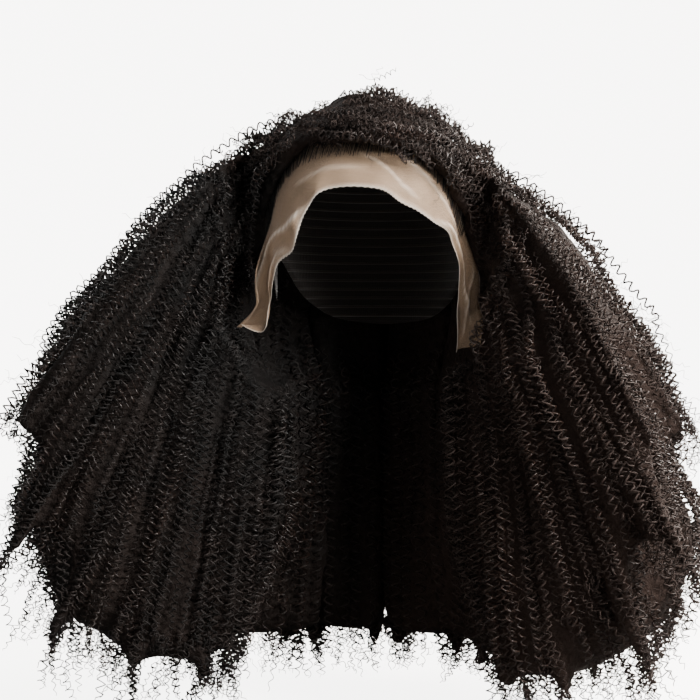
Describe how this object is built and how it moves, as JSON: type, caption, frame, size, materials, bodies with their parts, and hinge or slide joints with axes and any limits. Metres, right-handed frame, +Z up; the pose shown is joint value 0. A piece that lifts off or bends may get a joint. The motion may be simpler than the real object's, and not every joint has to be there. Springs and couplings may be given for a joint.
{
  "type": "afro wig",
  "caption": "Long kinky-curly full wig with a net cap and a sheer lace front, held in its worn shape with the hair brushed out to both sides.",
  "frame": {"origin": "inside of the cap at the crown, where the top of the wearer's head bears", "axes": "+Z up; the face looks along -Y; +X is the wearer's left, across the hair's full width"},
  "size_m": [0.555, 0.3646, 0.4809],
  "materials": {
    "hair": "soft sheen, tightly coiled",
    "net": "matt elastic net",
    "lace": "sheer fine lace"
  },
  "bodies": {
    "root": {"cap_net": "net", "lace_front": "lace", "hair_front_sweep": "hair", "hair_left_temple": "hair", "hair_left_side": "hair", "hair_left_back": "hair", "hair_right_back": "hair", "hair_right_side": "hair", "hair_right_temple": "hair"}
  },
  "joints": []
}
